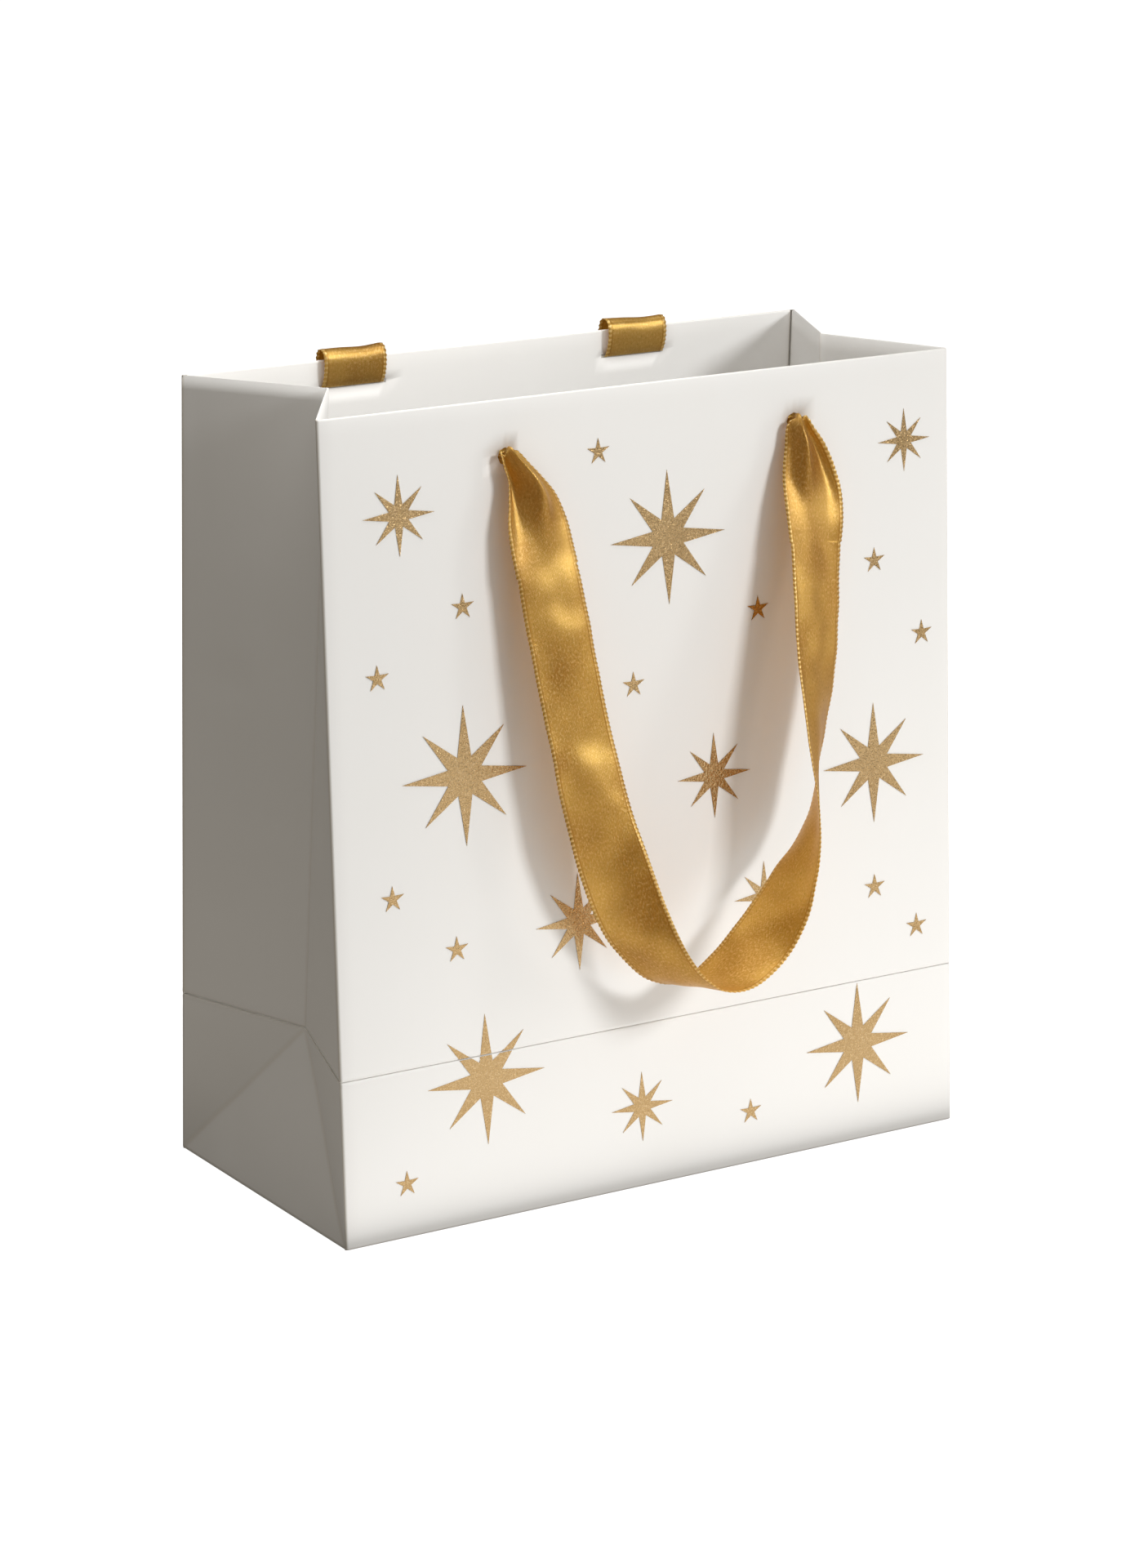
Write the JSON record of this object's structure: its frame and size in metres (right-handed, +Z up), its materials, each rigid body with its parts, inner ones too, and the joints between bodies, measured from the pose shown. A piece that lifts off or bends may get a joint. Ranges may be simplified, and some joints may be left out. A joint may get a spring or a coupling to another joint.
{
  "type": "paper gift bag",
  "caption": "Standing paper gift bag with folded sides, gold foil stars on its walls and two gold satin ribbon handles",
  "frame": {"origin": "middle of the flat bottom, on the surface that the bag stands on", "axes": "+Z up, +X to the right along the front wall, +Y from the front wall to the back wall"},
  "size_m": [0.25, 0.1816, 0.2862],
  "materials": {
    "bag_paper": "uncoated white paper, matte",
    "card": "grey-white card",
    "satin_ribbon": "gold satin with a picot edge",
    "gold_foil": "embossed metallic foil"
  },
  "bodies": {
    "root": {"front_lower_wall": "bag_paper", "back_lower_wall": "bag_paper", "seam_lower": "bag_paper", "left_base_triangle": "bag_paper", "left_corner_front": "bag_paper", "left_corner_back": "bag_paper", "right_base_triangle": "bag_paper", "right_corner_front": "bag_paper", "right_corner_back": "bag_paper", "bottom_flap_back": "bag_paper", "bottom_flap_front": "bag_paper", "bottom_flap_left": "bag_paper", "bottom_flap_right": "bag_paper", "base_board": "card", "front_lower_big_stars": "gold_foil", "front_lower_small_stars": "gold_foil", "back_lower_big_stars": "gold_foil", "back_lower_small_stars": "gold_foil"},
    "front_panel": {"front_panel": "bag_paper", "front_hem": "bag_paper", "front_card": "card", "front_ribbon_knots": "satin_ribbon", "front_upper_big_stars": "gold_foil", "front_upper_small_stars": "gold_foil"},
    "back_panel": {"back_panel": "bag_paper", "back_hem": "bag_paper", "back_card": "card", "seam_upper": "bag_paper", "rear_ribbon_arches": "satin_ribbon", "back_upper_big_stars": "gold_foil", "back_upper_small_stars": "gold_foil"},
    "left_fold_front": {"left_gusset_front": "bag_paper", "left_gusset_front_hem": "bag_paper"},
    "left_fold_back": {"left_gusset_back": "bag_paper", "left_gusset_back_hem": "bag_paper"},
    "right_fold_front": {"right_gusset_front": "bag_paper", "right_gusset_front_hem": "bag_paper"},
    "right_fold_back": {"right_gusset_back": "bag_paper", "right_gusset_back_hem": "bag_paper"},
    "front_handle": {"front_ribbon_left": "satin_ribbon", "front_ribbon_loop": "satin_ribbon", "front_ribbon_right": "satin_ribbon"},
    "rear_handle": {"rear_ribbon_left": "satin_ribbon", "rear_ribbon_loop": "satin_ribbon", "rear_ribbon_right": "satin_ribbon"}
  },
  "joints": [
    {"name": "mouth_fold", "type": "hinge", "parent": "root", "child": "front_panel", "pos_m": [0, -0.05739, 0.0585], "axis": [-1, 0, 0], "range_deg": [0, 9.5]},
    {"name": "back_fold", "type": "hinge", "parent": "root", "child": "back_panel", "pos_m": [0, 0.05739, 0.0585], "axis": [1, 0, 0], "range_deg": [0, 9.5]},
    {"name": "left_front_fold", "type": "hinge", "parent": "front_panel", "child": "left_fold_front", "pos_m": [-0.107, -0.05739, 0.0585], "axis": [0.8287, 0.5577, 0.0463], "range_deg": [0, 11.45], "deforming": ["left_gusset_front", "left_gusset_front_hem"]},
    {"name": "left_back_fold", "type": "hinge", "parent": "back_panel", "child": "left_fold_back", "pos_m": [-0.107, 0.05739, 0.0585], "axis": [-0.8287, 0.5577, -0.0463], "range_deg": [0, 11.45], "deforming": ["left_gusset_back", "left_gusset_back_hem"]},
    {"name": "right_front_fold", "type": "hinge", "parent": "front_panel", "child": "right_fold_front", "pos_m": [0.107, -0.05739, 0.0585], "axis": [0.7725, -0.6328, -0.0526], "range_deg": [0, 12.28], "deforming": ["right_gusset_front", "right_gusset_front_hem"]},
    {"name": "right_back_fold", "type": "hinge", "parent": "back_panel", "child": "right_fold_back", "pos_m": [0.107, 0.05739, 0.0585], "axis": [-0.7725, -0.6328, 0.0526], "range_deg": [0, 12.28], "deforming": ["right_gusset_back", "right_gusset_back_hem"]},
    {"name": "front_handle_swing", "type": "hinge", "parent": "front_panel", "child": "front_handle", "pos_m": [0, -0.05201, 0.25968], "axis": [-1, 0, 0], "range_deg": [0, 156]},
    {"name": "rear_handle_swing", "type": "hinge", "parent": "back_panel", "child": "rear_handle", "pos_m": [0, 0.05115, 0.27896], "axis": [1, 0, 0], "range_deg": [0, 156]}
  ],
  "couplings": [
    {"joint": "back_fold", "follows": "mouth_fold", "ratio": 1},
    {"joint": "left_front_fold", "follows": "mouth_fold", "ratio": 1.2054},
    {"joint": "left_back_fold", "follows": "mouth_fold", "ratio": 1.2054},
    {"joint": "right_front_fold", "follows": "mouth_fold", "ratio": 1.2925},
    {"joint": "right_back_fold", "follows": "mouth_fold", "ratio": 1.2925}
  ]
}
